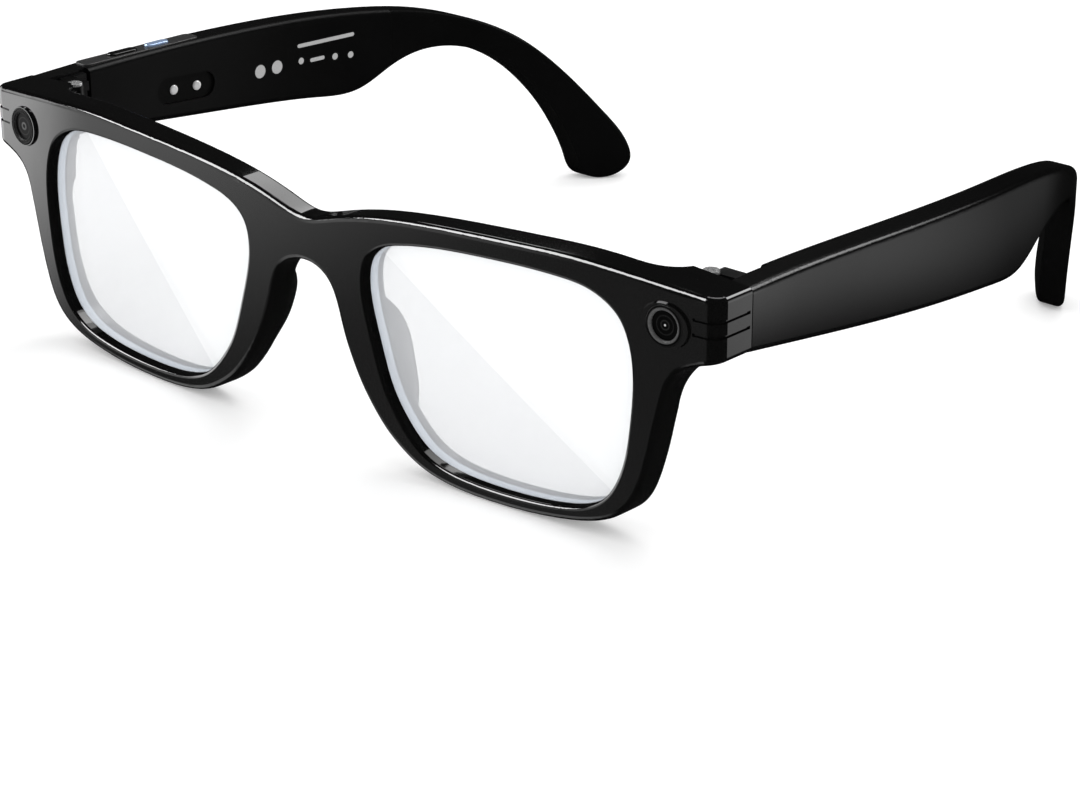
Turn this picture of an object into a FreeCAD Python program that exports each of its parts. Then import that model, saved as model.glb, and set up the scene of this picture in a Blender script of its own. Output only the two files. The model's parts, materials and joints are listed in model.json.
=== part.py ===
import FreeCAD, Part
import math
import os
from FreeCAD import Vector

# Camera glasses: a glossy moulded front with two lenses, and two folding temples
# that hold the electronics. Millimetres. +X is the wearer's left, -Y is where the
# wearer looks, +Z is up. The part rests on its rims and temple tips at Z = 0.
# The model is drawn with Y = 0 on the bridge's front face, and is moved at export
# so that the origin is in the middle of the footprint.

# ---- driving dimensions -------------------------------------------------------
CENTRE_Y = 65.12            # from the bridge's front face to the middle of the footprint
SPANS_PER_EDGE = 8          # a long smooth outline is made of edges of this many spans
FRONT_SAG = 3.44            # how far the front curves back at FRONT_SAG_X
FRONT_SAG_X = 70.0
SEAM_Y = 11.5               # back face of the endpieces
SEAM_GAP = 0.2
TEMPLE_FRONT_Y = SEAM_Y + SEAM_GAP
FACE_R = (FRONT_SAG_X ** 2 + FRONT_SAG ** 2) / (2 * FRONT_SAG)
SIDE_X = 75.85              # outer side of the endpieces
CORNER_R = 2.4              # their rounding, seen from above
FRONT_EDGE_R = 0.85         # rounding of the front's outer edge
OPENING_EDGE_R = 0.5        # rounding of the lens openings
BACK_EDGE_R = 0.7
LENS_GROOVE = 0.6           # how far a lens goes into its rim
LENS_THICK = 1.5
LENS_SETBACK = 1.8
COVER_THICK = 1.3           # inner half of a temple
WALL = 1.3                  # outer wall of a temple

MODULE_X = 67.5             # camera and light, on the endpieces
MODULE_Z = 35.0
BEZEL_R = 3.05
BEZEL_RISE = 0.45
WINDOW_R = 2.2
MODULE_DEPTH = 4.6
LIGHT_BOSS = (4.5, 3.68)    # half width and half height of the raised ring seat
CAMERA_BOSS = (3.72, 3.62)
LEAD_DEPTH = 1.7            # lead slot, below the back of the front

HINGE_X = 66.9
HINGE_Y = 13.6
HINGE_Z = 31.7
KNUCKLE_R = 1.5
KNUCKLE_H = 1.56
KNUCKLE_PITCH = 1.6
KNUCKLES = 5
PLATE_H = 7.96              # height of a hinge's plates
PIN_R = 0.68
PIN_CLEAR = 0.07
PLATE_SCREWS = ((64.6, 33.4), (64.6, 37.9))

STRIP_Y = (20.6, 46.2)      # control strip on top of the right temple
STRIP_X = (72.2, 75.5)
STRIP_TOP = 40.45
STRIP_THICK = 0.9
STRIP_TILT = -1.0
BUTTONS = {
    "capture_button": (30.0, 6.0, 1.9),
    "power_button": (37.7, 4.9, 1.7),
}
BUTTON_X = 73.9
BUTTON_RISE = 0.35
BUTTON_GAP = 0.1
BUTTON_FLANGE = 0.45
FLANGE_THICK = 0.4

TEMPLE_SCREWS = ((17.9, 33.3), (17.9, 37.8))
TEMPLE_EDGE_R = 1.0
CONTACT_YZ = ((38.85, 32.3), (44.15, 31.9))
CONTACT_R = 0.85
INSERT_LENGTH = 13.3
INSERT_HEIGHT = 4.6
INSERT_SINK = 0.35

TOP_EDGE = [(0, 35.9), (3, 36.35), (6, 37.2), (9.5, 38.1), (13.5, 38.9), (18, 39.55),
            (24, 40.15), (32, 40.7), (42, 41.2), (50, 41.45), (58, 41.25), (66, 40.8), (76.6, 40.1)]
LOWER_EDGE = [(76.6, 31.0), (73.6, 30.2), (71.2, 29.3), (69.3, 28.1), (68.0, 26.3), (67.1, 23.4),
              (66.2, 19.6), (65.1, 14.9), (63.8, 10.6), (62.6, 7.7), (60.8, 5.2), (58.1, 3.25),
              (54.5, 1.9), (49.5, 0.9), (43.6, 0.25), (37.5, 0.0), (32, 0.08), (27, 0.65), (23, 1.75),
              (19.3, 3.7), (16.5, 5.8), (13.8, 8.7), (11.4, 12.0), (9.5, 15.5), (8.0, 19.0),
              (7.05, 22.0), (6.1, 24.8), (4.8, 26.9), (2.8, 28.3), (0, 28.85)]
OPENING = [(20.3, 35.85), (27.5, 36.95), (35, 37.5), (42.5, 37.8), (49.1, 37.75), (53.5, 37.3),
           (56.9, 36.05), (59.4, 34.1), (61.0, 31.0), (61.8, 26.8), (61.8, 22.5), (61.4, 18.0),
           (60.65, 13.3), (59.4, 9.6), (57.6, 6.7), (54.7, 4.5), (49.2, 2.9), (42.4, 2.2),
           (34.5, 2.1), (28.2, 2.75), (25.0, 3.7), (22.15, 5.4), (19.9, 7.6), (17.95, 10.1),
           (16.35, 12.9), (14.85, 17.0), (13.65, 20.9), (12.6, 24.8), (12.2, 28.8), (13.0, 32.0),
           (15.6, 34.35)]
BACK_EDGE = [(64.8, SEAM_Y), (63.9, 10.1), (62.2, 8.85), (57, 8.0), (50, 7.5), (35, 6.4),
             (20, 5.4), (8, 4.7), (0, 4.5)]
RIM_BACK_Y = 7.9            # back of the rims' outer sides, below the endpieces
RIM_BACK_X = 54.0

# nose pad: height, rear edge X and Y, nose side X, lens side X
PAD_SECTIONS = [(7.4, 16.9, 6.6, 15.4, 19.3), (9.7, 15.7, 8.0, 13.4, 17.5), (12.1, 14.6, 8.9, 11.6, 16.1),
                (14.5, 13.5, 9.5, 10.2, 15.1), (17.0, 12.6, 9.8, 9.0, 14.1), (19.4, 11.7, 9.65, 8.1, 13.4),
                (21.8, 10.7, 8.7, 7.3, 12.7), (24.0, 9.6, 7.0, 6.7, 12.1), (25.8, 8.8, 5.4, 6.3, 11.7)]

TEMPLE_PLAN = [(TEMPLE_FRONT_Y, 75.85), (35, 76.3), (58, 76.25), (72, 75.1), (84, 73.1), (96, 70.4),
               (106, 66.6), (116, 60.8), (126, 53.4), (133, 48.0)]
TEMPLE_THICK = [(TEMPLE_FRONT_Y, 5.5), (60, 5.35), (90, 5.1), (110, 5.3), (133, 5.6)]
TEMPLE_TOP = [(TEMPLE_FRONT_Y, 40.1), (22, 40.25), (37, 40.05), (60, 39.2), (75, 38.3), (86, 37.2), (95, 35.7),
              (104, 33.0), (112, 28.9), (120, 21.2), (126.4, 12.5), (129.9, 6.0)]
TEMPLE_TIP = [(129.9, 6.0), (130.1, 3.0), (128.3, 0.8), (125.2, 0.0), (122.6, 1.1), (121.4, 4.2)]
TEMPLE_BOTTOM = [(121.4, 4.2), (119.9, 9.0), (117.6, 14.2), (114.4, 19.3), (110.2, 23.8), (105, 26.9),
                 (99, 28.3), (93, 27.9), (87.8, 26.1), (84, 24.25), (80.8, 23.2), (77.2, 22.95), (72, 23.5),
                 (62, 24.65), (45, 26.4), (28, 28.35), (TEMPLE_FRONT_Y, 30.45)]
CAVITY = [(21.8, 38.3), (60, 37.2), (79, 36.1), (83, 33.2), (81.5, 28.3), (77, 25.9), (62, 26.7),
          (45, 28.5), (21.8, 31.0)]
HINGE_POCKET_Y = 20.0
BOARD_Z = 34.7              # middle height of the circuit boards
MIC_YZ = (24.2, 31.6)
COVER_END_Y = 88.0          # behind it the temple is one solid piece


# ---- small helpers --------------------------------------------------------------
def spline(points, closed=False, spans=SPANS_PER_EDGE):
    """A smooth curve through the points, as a chain of short edges."""
    curve = Part.BSplineCurve()
    curve.interpolate(Points=points, PeriodicFlag=closed)
    knots = curve.getKnots()
    total = len(knots) - 1
    count = max(1, round(total / spans))
    picks = [knots[round(total * index / count)] for index in range(count + 1)]
    edges = []
    for start, end in zip(picks, picks[1:]):
        piece = curve.copy()
        piece.segment(start, end)
        edges.append(piece.toShape())
    return edges


def line(start, end):
    return Part.makeLine(start, end)


def arc(start, middle, end):
    return Part.Arc(start, middle, end).toShape()


def wire_of(parts):
    edges = []
    for item in parts:
        edges += item if isinstance(item, list) else [item]
    return Part.Wire(Part.__sortEdges__(edges))


def prism(parts, direction):
    return Part.Face(wire_of(parts)).extrude(direction)


def box(x0, x1, y0, y1, z0, z1):
    return Part.makeBox(x1 - x0, y1 - y0, z1 - z0, Vector(x0, y0, z0))


def cylinder_z(radius, z0, z1, x=0.0, y=0.0):
    return Part.makeCylinder(radius, z1 - z0, Vector(x, y, z0))


def mirrored(shape):
    return shape.mirror(Vector(0, 0, 0), Vector(1, 0, 0))


def for_side(shape, side):
    return shape if side > 0 else mirrored(shape)


def fuse_all(shapes):
    return shapes[0].fuse(shapes[1:]).removeSplitter()


def edges_where(shape, test):
    return [edge for edge in shape.Edges if not edge.Degenerated and test(edge)]


def points_along(edge):
    start, end = edge.FirstParameter, edge.LastParameter
    return [edge.valueAt(start + part * (end - start)) for part in (0.0, 0.25, 0.5, 0.75, 1.0)]


def spread(values):
    values = list(values)
    return max(values) - min(values)


def front_y(x):
    return FRONT_SAG * (x / FRONT_SAG_X) ** 2


# ---- front frame ---------------------------------------------------------------
def xz(points, y):
    return [Vector(x, y, z) for x, z in points]


def both_halves(points):
    left = [(-x, other) for x, other in reversed(points)]
    return left[:-1] + points if points[0][0] == 0 else points + left[1:]


def front_profile():
    top = both_halves(TOP_EDGE)
    low = both_halves(LOWER_EDGE)
    low_y = -3.0
    edges = [spline(xz(top, low_y)),
             line(Vector(top[-1][0], low_y, top[-1][1]), Vector(low[0][0], low_y, low[0][1])),
             spline(xz(low, low_y)),
             line(Vector(low[-1][0], low_y, low[-1][1]), Vector(top[0][0], low_y, top[0][1]))]
    return prism(edges, Vector(0, 20, 0))


def corner_centre():
    """Centre of the round corner that runs smoothly from the front's face into its side."""
    x = SIDE_X - CORNER_R
    return x, FACE_R - math.sqrt((FACE_R - CORNER_R) ** 2 - x ** 2)


def front_plan(inset=0.0):
    def at(x, y):
        return Vector(x, y, -2.0)
    x, y = corner_centre()
    lean = math.atan2(x, FACE_R - y)
    radius = CORNER_R - inset
    shoulder = (x + radius * math.sin(lean), y - radius * math.cos(lean))
    half_way = 0.5 * (lean + math.pi / 2)
    corner = (x + radius * math.sin(half_way), y - radius * math.cos(half_way))
    side = SIDE_X - inset
    back = both_halves(BACK_EDGE)
    edges = [arc(at(-shoulder[0], shoulder[1]), at(0, inset), at(*shoulder)),
             arc(at(*shoulder), at(*corner), at(side, y)),
             line(at(side, y), at(side, SEAM_Y)),
             line(at(side, SEAM_Y), at(back[0][0], SEAM_Y)),
             spline([at(*point) for point in back]),
             line(at(back[-1][0], SEAM_Y), at(-side, SEAM_Y)),
             line(at(-side, SEAM_Y), at(-side, y)),
             arc(at(-side, y), at(-corner[0], corner[1]), at(-shoulder[0], shoulder[1]))]
    return prism(edges, Vector(0, 0, 46))


def rim_step():
    """Takes the rims' outer sides back to their own depth, below the endpieces."""
    def at(y, z):
        return Vector(RIM_BACK_X, y, z)
    y1 = SEAM_Y + 0.3
    edges = [line(at(RIM_BACK_Y, -2), at(RIM_BACK_Y, 21.5)),
             arc(at(RIM_BACK_Y, 21.5), at(8.8, 26.2), at(y1, 29.2)),
             line(at(y1, 29.2), at(y1, -2)), line(at(y1, -2), at(RIM_BACK_Y, -2))]
    return prism(edges, Vector(20, 0, 0))


def grown(points, grow):
    """Move every point of a closed clockwise outline outwards along its own normal."""
    moved = []
    for index, (x, z) in enumerate(points):
        x0, z0 = points[index - 1]
        x1, z1 = points[(index + 1) % len(points)]
        length = math.hypot(x1 - x0, z1 - z0)
        moved.append((x - grow * (z1 - z0) / length, z + grow * (x1 - x0) / length))
    return moved


def opening_prism(grow, y0, y1):
    wire = wire_of([spline(xz(grown(OPENING, grow), y0), closed=True)])
    return Part.Face(wire).extrude(Vector(0, y1 - y0, 0))


def lens():
    def at(x, offset):
        return Vector(x, LENS_SETBACK + offset + 1.06 * front_y(x), -3.0)
    near, middle, far = 8.0, 37.0, 67.0
    edges = [arc(at(near, 0), at(middle, 0), at(far, 0)),
             line(at(far, 0), at(far, LENS_THICK)),
             arc(at(far, LENS_THICK), at(middle, LENS_THICK), at(near, LENS_THICK)),
             line(at(near, LENS_THICK), at(near, 0))]
    slab = prism(edges, Vector(0, 0, 46))
    return opening_prism(LENS_GROOVE, -2.0, 16.0).common(slab)


def nose_pad():
    wires = []
    for z, rear_x, rear_y, nose_x, lens_x in PAD_SECTIONS:
        points = [(nose_x + 0.55, 2.2), (0.5 * (nose_x + rear_x) - 0.35, 0.5 * (rear_y + 2.6)),
                  (rear_x - 0.75, rear_y - 0.75), (rear_x, rear_y), (rear_x + 0.8, rear_y - 0.8),
                  (0.5 * (rear_x + lens_x) + 0.35, 0.45 * rear_y + 1.7), (lens_x - 1.2, 3.0)]
        wires.append(wire_of([spline([Vector(x, y, z) for x, y in points], closed=True, spans=10)]))
    return Part.makeLoft(wires, True, False)


def on_front(shape):
    """Carry a module shape from its own axis (+Z out of the face) to the left endpiece."""
    slope = 2 * FRONT_SAG * MODULE_X / FRONT_SAG_X ** 2
    outward = Vector(slope, -1, 0)
    placed = shape.copy()
    placed.Placement = FreeCAD.Placement(Vector(MODULE_X, front_y(MODULE_X), MODULE_Z),
                                         FreeCAD.Rotation(Vector(0, 0, 1), outward))
    return placed


def boss(width, height, rise):
    flare = Part.makeCone(1.0, BEZEL_R / min(width, height) + 0.04, rise + 1.0, Vector(0, 0, -1.0))
    stretch = FreeCAD.Matrix()
    stretch.A11 = width
    stretch.A22 = height
    return flare.transformGeometry(stretch)


def endpiece_grooves():
    cuts = []
    skin = front_plan(0.0).cut(front_plan(0.3))
    for z in (36.75, 34.55):
        band = box(71.8, 78.0, 2.0, SEAM_Y - 0.35, z - 0.24, z + 0.24)
        cuts.append(skin.common(band))
    return cuts


def flex_channel():
    """Slot behind the top edge of the front for the lead between the endpieces."""
    def span(drop):
        return [(x, z - drop) for x, z in both_halves(TOP_EDGE) if abs(x) <= 66]
    upper = span(1.0)
    lower = span(2.0)
    y = -3.0
    edges = [spline(xz(upper, y)), line(xz(upper, y)[-1], xz(lower, y)[-1]),
             spline(xz(lower, y)), line(xz(lower, y)[0], xz(upper, y)[0])]
    return prism(edges, Vector(0, 20, 0))


def lead_passage():
    """Way for the lead from its slot into the module's cavity."""
    return box(64.6, 66.2, 6.6, 8.0, 36.4, 39.9)


def back_band(front_offset, back_offset, reach):
    """Region that follows the back of the front, between two depths below it."""
    def at(x, y):
        return Vector(x, y, -2.0)
    points = [(x, y) for x, y in both_halves(BACK_EDGE) if abs(x) <= reach]
    first = [at(x, y - front_offset) for x, y in points]
    second = [at(x, y - back_offset) for x, y in points]
    edges = [spline(first), line(first[-1], second[-1]), spline(second), line(second[0], first[0])]
    return prism(edges, Vector(0, 0, 46))


def hinge_plate_front():
    return box(63.9, 70.2, 10.4, SEAM_Y, HINGE_Z, HINGE_Z + PLATE_H)


def module_cavity():
    return on_front(cylinder_z(BEZEL_R + 0.02, -MODULE_DEPTH, 3.0))


def hinge_bolt_holes():
    return [Part.makeCylinder(0.5, 2.6, Vector(x, SEAM_Y - 2.4, z), Vector(0, 1, 0)) for x, z in PLATE_SCREWS]


def on_skin(point):
    """Whether a point lies on the front's face, a round corner or a side."""
    x, y = corner_centre()
    if point.y > y:
        return abs(abs(point.x) - SIDE_X) < 0.01
    if abs(point.x) > x and math.hypot(abs(point.x) - x, point.y - y) > CORNER_R - 0.01:
        return True
    return abs(math.hypot(point.x, point.y - FACE_R) - FACE_R) < 0.01


def around_front(edge):
    points = points_along(edge)
    upright = spread(p.x for p in points) < 0.05 and spread(p.y for p in points) < 0.05
    return not upright and all(on_skin(p) for p in points)


def around_back(edge, skin):
    """An edge between the back of the front and its outer side, which is the given skin."""
    points = points_along(edge)
    inside = all(abs(p.x) < SIDE_X - CORNER_R and p.y > 4.3 for p in points)
    at_seam = all(p.y > SEAM_Y - 0.1 for p in points)
    if at_seam or not inside or spread(p.x for p in points) < 0.05:
        return False
    return all(skin.distToShape(Part.Vertex(p))[0] < 0.001 for p in points)


def around_hole(edge, hole):
    """An edge of a lens opening that doesn't run from the front to the back."""
    points = points_along(edge)
    runs = max(spread(p.x for p in points), spread(p.z for p in points))
    if spread(p.y for p in points) > 0.8 * runs:
        return False
    return all(hole.distToShape(Part.Vertex(p))[0] < 0.001 for p in points[1:4])


def build_front(lens_left):
    profile = front_profile()
    body = profile.common(front_plan()).cut([rim_step(), mirrored(rim_step())])
    body = body.makeFillet(FRONT_EDGE_R, edges_where(body, around_front))
    skin = Part.Shell(profile.Faces)
    body = body.makeFillet(BACK_EDGE_R, edges_where(body, lambda edge: around_back(edge, skin)))
    for side in (1, -1):
        hole = for_side(opening_prism(0.0, -5.0, 20.0), side)
        body = body.cut(hole)
        rims = edges_where(body, lambda edge: around_hole(edge, hole))
        body = body.makeFillet(OPENING_EDGE_R, rims)
    body = body.fuse([for_side(nose_pad(), side) for side in (1, -1)])
    body = body.fuse([on_front(boss(*LIGHT_BOSS, BEZEL_RISE)), mirrored(on_front(boss(*CAMERA_BOSS, BEZEL_RISE)))])
    tools = [flex_channel().common(back_band(LEAD_DEPTH, -3.0, 66.0))]
    for side in (1, -1):
        cuts = [lens_left, module_cavity(), hinge_plate_front(), lead_passage()]
        cuts += endpiece_grooves() + hinge_bolt_holes()
        tools += [for_side(cut, side) for cut in cuts]
    return body.cut(tools)


# ---- modules on the endpieces ----------------------------------------------------
def ring(outer, inner, z0, z1):
    return cylinder_z(outer, z0, z1).cut(cylinder_z(inner, z0 - 1.0, z1 + 1.0))


def module_bezel():
    top = BEZEL_RISE + 0.1
    body = ring(BEZEL_R, WINDOW_R, -0.9, top)
    body = body.cut(ring(2.74, 2.62, BEZEL_RISE - 0.02, top + 1.0))
    on_top = edges_where(body, lambda e: e.BoundBox.ZMin > top - 0.05)
    outer = [edge for edge in on_top if edge.BoundBox.XLength > 2 * BEZEL_R - 0.1]
    body = body.makeFillet(0.18, outer)
    on_top = edges_where(body, lambda e: e.BoundBox.ZMin > top - 0.05)
    inner = [edge for edge in on_top if edge.BoundBox.XLength < 2 * WINDOW_R + 0.1]
    return body.makeChamfer(0.15, inner)


def module_window():
    return cylinder_z(WINDOW_R, -0.35, 0.15)


def camera_barrel():
    body = ring(2.15, 0.95, -2.4, -0.95)
    body = body.cut(Part.makeCone(0.95, 1.75, 0.8, Vector(0, 0, -1.75)))
    return body.fuse(ring(2.15, 1.75, -0.95, -0.4)).removeSplitter()


def camera_lens():
    dome = Part.makeSphere(1.6, Vector(0, 0, -3.05))
    return dome.common(cylinder_z(0.95, -2.0, -1.4)).fuse(cylinder_z(0.95, -2.3, -1.9)).removeSplitter()


def module_board():
    disc = cylinder_z(2.9, -3.4, -2.8)
    return disc.cut(box(-4.0, 4.0, 2.2, 4.0, -4.0, 0.0))


def camera_sensor():
    return box(-1.9, 1.9, -1.7, 1.7, -2.8, -2.4)


def light_emitter():
    base = box(-1.2, 1.2, -1.2, 1.2, -2.8, -1.9)
    dome = Part.makeSphere(0.95, Vector(0, 0, -1.9)).common(box(-2, 2, -2, 2, -1.9, 0.0))
    return base.fuse(dome).removeSplitter()


def light_reflector():
    body = cylinder_z(2.15, -1.9, -0.4)
    body = body.cut(Part.makeCone(1.05, 2.0, 1.5, Vector(0, 0, -1.9)))
    return body.cut(cylinder_z(1.05, -2.0, -1.8))


# ---- leads and cover in the front ------------------------------------------------
def front_lead():
    return flex_channel().common(back_band(LEAD_DEPTH - 0.05, LEAD_DEPTH - 0.35, 65.0))


def lead_cover():
    return flex_channel().common(back_band(0.7, 0.0, 61.8))


# ---- hinge -----------------------------------------------------------------------
def knuckle(level):
    z0 = HINGE_Z + level * KNUCKLE_PITCH
    return cylinder_z(KNUCKLE_R, z0, z0 + KNUCKLE_H, HINGE_X, HINGE_Y), z0


def hinge_leaf_front():
    shapes = [hinge_plate_front()]
    for level in (1, 3):
        barrel, z0 = knuckle(level)
        shapes.append(barrel)
        shapes.append(box(HINGE_X - KNUCKLE_R, HINGE_X + 0.9, SEAM_Y - 0.5, HINGE_Y, z0, z0 + KNUCKLE_H))
    body = fuse_all(shapes)
    body = body.cut(cylinder_z(PIN_R + PIN_CLEAR, HINGE_Z - 1, HINGE_Z + 10, HINGE_X, HINGE_Y))
    for x, z in PLATE_SCREWS:
        body = body.cut(Part.makeCylinder(0.5, 4.0, Vector(x, 9.0, z), Vector(0, 1, 0)))
        body = body.cut(Part.makeCone(0.5, 0.9, 0.4, Vector(x, SEAM_Y - 0.4, z), Vector(0, 1, 0)))
    return body


def hinge_leaf_temple():
    shapes = [box(70.75, 71.75, 14.4, 19.4, HINGE_Z, HINGE_Z + PLATE_H)]
    for level in (0, 2, 4):
        barrel, z0 = knuckle(level)
        shapes.append(barrel)
        shapes.append(box(HINGE_X, 71.0, HINGE_Y + 0.3, 16.6, z0, z0 + KNUCKLE_H))
        shapes.append(box(HINGE_X, HINGE_X + KNUCKLE_R, HINGE_Y, HINGE_Y + 1.0, z0, z0 + KNUCKLE_H))
    body = fuse_all(shapes)
    body = body.cut(cylinder_z(PIN_R, HINGE_Z - 1, HINGE_Z + 10, HINGE_X, HINGE_Y))
    for y, z in TEMPLE_SCREWS:
        body = body.cut(Part.makeCylinder(0.45, 4.0, Vector(69.0, y, z), Vector(1, 0, 0)))
    return body


def hinge_screw():
    top = HINGE_Z + (KNUCKLES - 1) * KNUCKLE_PITCH + KNUCKLE_H
    shaft = cylinder_z(PIN_R, HINGE_Z + 0.05, top, HINGE_X, HINGE_Y)
    head = cylinder_z(1.25, top, top + 0.42, HINGE_X, HINGE_Y)
    head = head.makeFillet(0.12, edges_where(head, lambda e: e.BoundBox.ZMin > top + 0.3))
    head = head.cut(box(HINGE_X - 2, HINGE_X + 2, HINGE_Y - 0.14, HINGE_Y + 0.14, top + 0.2, top + 1.0))
    return fuse_all([shaft, head])


def plate_screw_front(x, z):
    shaft = Part.makeCylinder(0.5, 2.0, Vector(x, SEAM_Y - 2.4, z), Vector(0, 1, 0))
    head = Part.makeCone(0.5, 0.9, 0.4, Vector(x, SEAM_Y - 0.4, z), Vector(0, 1, 0))
    slot = box(x - 0.1, x + 0.1, SEAM_Y - 0.15, SEAM_Y + 1.0, z - 0.5, z + 0.5)
    return fuse_all([shaft, head]).cut(slot)


def plate_screw_temple(y, z):
    shaft = Part.makeCylinder(0.45, 2.3, Vector(70.7, y, z), Vector(1, 0, 0))
    head = Part.makeCylinder(0.85, 0.4, Vector(70.35, y, z), Vector(1, 0, 0))
    slot = box(70.0, 70.5, y - 0.1, y + 0.1, z - 0.5, z + 0.5)
    return fuse_all([shaft, head]).cut(slot)


# ---- temples -----------------------------------------------------------------------
def interpolated(table, y):
    for (y0, v0), (y1, v1) in zip(table, table[1:]):
        if y <= y1:
            return v0 + (v1 - v0) * (y - y0) / (y1 - y0)
    return table[-1][1]


def plan_points(depth):
    """Plan of a surface at a depth below the temple's outer face."""
    return [Vector(x - depth, y, -2.0) for y, x in TEMPLE_PLAN]


def inner_points(cover):
    """Plan of a surface at a depth below the temple's inner face."""
    return [Vector(x - interpolated(TEMPLE_THICK, y) + cover, y, -2.0) for y, x in TEMPLE_PLAN]


def plan_band(outer, inner):
    edges = [spline(outer), line(outer[-1], inner[-1]), spline(inner), line(inner[0], outer[0])]
    return prism(edges, Vector(0, 0, 46))


def yz(points, x):
    return [Vector(x, y, z) for y, z in points]


def temple_profile():
    x = 40.0
    front_line = line(yz(TEMPLE_BOTTOM, x)[-1], yz(TEMPLE_TOP, x)[0])
    whole = TEMPLE_TOP + TEMPLE_TIP[1:] + TEMPLE_BOTTOM[1:]
    return prism([spline(yz(whole, x)), front_line], Vector(40, 0, 0))


def runs_across(edge):
    """An edge that only crosses the temple's thickness, between two outline pieces."""
    first, last = edge.Vertexes[0].Point, edge.Vertexes[-1].Point
    return edge.Length < 8.0 and abs(first.z - last.z) < 0.01


def temple_blank():
    body = temple_profile().common(plan_band(plan_points(0.0), inner_points(0.0)))
    across = edges_where(body, lambda e: e.BoundBox.YMax > TEMPLE_FRONT_Y + 0.1 and not runs_across(e))
    return body.makeFillet(TEMPLE_EDGE_R, across)


def cavity():
    x = 60.0
    points = yz(CAVITY, x)
    edges = [line(a, b) for a, b in zip(points, points[1:] + points[:1])]
    block = prism(edges, Vector(30, 0, 0))
    return block.common(plan_band(plan_points(WALL), inner_points(COVER_THICK)))


def cover_region():
    region = plan_band(inner_points(COVER_THICK), inner_points(-6.0))
    return region.common(box(30, 90, HINGE_POCKET_Y, COVER_END_Y, -5, 60))


def hinge_pocket():
    return box(66.0, 71.75, TEMPLE_FRONT_Y - 1.0, HINGE_POCKET_Y, 28.0, 44.0)


def station(y):
    """Middle of the temple's thickness at a given Y, and the direction it runs in."""
    def middle(at_y):
        outer = interpolated(TEMPLE_PLAN, at_y)
        return outer - 0.5 * (interpolated(TEMPLE_THICK, at_y) + WALL - COVER_THICK)
    angle = math.degrees(math.atan2(middle(y - 4) - middle(y + 4), 8.0))
    return middle(y), angle


def in_temple(y, z, width, length, height, across=0.0, tilt=0.0, along=0.0):
    """A box in the temple, set along its curve: width across, length along, height up."""
    x, angle = station(y)
    corner = Vector(-0.5 * width + across, -0.5 * length + along, -0.5 * height)
    block = Part.makeBox(width, length, height, corner)
    block.rotate(Vector(0, 0, 0), Vector(1, 0, 0), tilt)
    block.rotate(Vector(0, 0, 0), Vector(0, 0, 1), angle)
    block.translate(Vector(x, y, z))
    return block


def battery(y, length):
    block = in_temple(y, 32.4, 2.0, length, 7.0, 0.0, -3.0)
    return block.makeFillet(0.6, block.Edges)


def board(y, length):
    return in_temple(y, BOARD_Z, 0.8, length, 4.6, 0.75, -2.0)


def chips(y, sizes):
    return [in_temple(y, BOARD_Z, 0.9, length, height, -0.1, -2.0, along) for along, length, height in sizes]


def speaker():
    block = in_temple(75.0, 31.6, 2.2, 11.0, 6.6, 0.0, -4.0)
    corners = edges_where(block, lambda e: abs(e.BoundBox.XLength - 2.2) < 0.5 and e.BoundBox.ZLength < 1.0)
    return block.makeFillet(2.2, corners)


def speaker_slots():
    slots = []
    for index in range(5):
        y = 66.4 + 1.8 * index
        x, angle = station(y)
        slot = Part.makeBox(1.9, 0.8, 4.0, Vector(-0.95, -0.4, 22.8))
        slot.rotate(Vector(0, 0, 0), Vector(0, 0, 1), angle)
        slot.translate(Vector(x, y, 0))
        slots.append(slot)
    return slots


def speaker_mesh():
    return in_temple(70.2, 26.95, 2.3, 9.6, 0.25, 0.0, -5.0)


def microphone():
    return in_temple(*MIC_YZ, 2.0, 3.2, 1.1)


def microphone_port():
    x, _ = station(MIC_YZ[0])
    return cylinder_z(0.4, 27.5, MIC_YZ[1], x, MIC_YZ[0])


def tip_core():
    x = 40.0
    upper = [(86, 33.0), (96, 33.0), (105, 31.0), (113, 25.2), (120, 16.5), (126.0, 6.6)]
    lower = [(124.2, 5.6), (118, 15.0), (111.4, 23.4), (104.2, 28.9), (96, 30.7), (86, 30.7)]
    points_up = yz(upper, x)
    points_low = yz(lower, x)
    edges = [spline(points_up), line(points_up[-1], points_low[0]), spline(points_low),
             line(points_low[-1], points_up[0])]
    middle_out = [Vector(v - 0.5 * interpolated(TEMPLE_THICK, y) + 0.5, y, -2.0) for y, v in TEMPLE_PLAN]
    middle_in = [Vector(v - 0.5 * interpolated(TEMPLE_THICK, y) - 0.5, y, -2.0) for y, v in TEMPLE_PLAN]
    return prism(edges, Vector(40, 0, 0)).common(plan_band(middle_out, middle_in))


# ---- right temple's controls and charging contacts -----------------------------------
def tilted(shape):
    turned = shape.copy()
    turned.rotate(Vector(0, STRIP_Y[0], STRIP_TOP), Vector(1, 0, 0), STRIP_TILT)
    return turned


def pill(y, length, width, z0, z1):
    half = 0.5 * (length - width)
    r = 0.5 * width
    return fuse_all([cylinder_z(r, z0, z1, BUTTON_X, y - half), cylinder_z(r, z0, z1, BUTTON_X, y + half),
                     box(BUTTON_X - r, BUTTON_X + r, y - half, y + half, z0, z1)])


def strip_blank():
    y0, y1 = STRIP_Y
    x0, x1 = STRIP_X
    block = box(x0, x1, y0, y1, STRIP_TOP - STRIP_THICK, STRIP_TOP)
    ends = edges_where(block, lambda e: e.BoundBox.ZLength > 0.5)
    return block.makeFillet(1.2, ends)


def control_strip():
    block = strip_blank()
    block = block.makeFillet(0.15, edges_where(block, lambda e: e.BoundBox.ZMin > STRIP_TOP - 0.01))
    for y, length, width in BUTTONS.values():
        block = block.cut(pill(y, length + 2 * BUTTON_GAP, width + 2 * BUTTON_GAP, STRIP_TOP - 2, STRIP_TOP + 1))
    return tilted(block)


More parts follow.
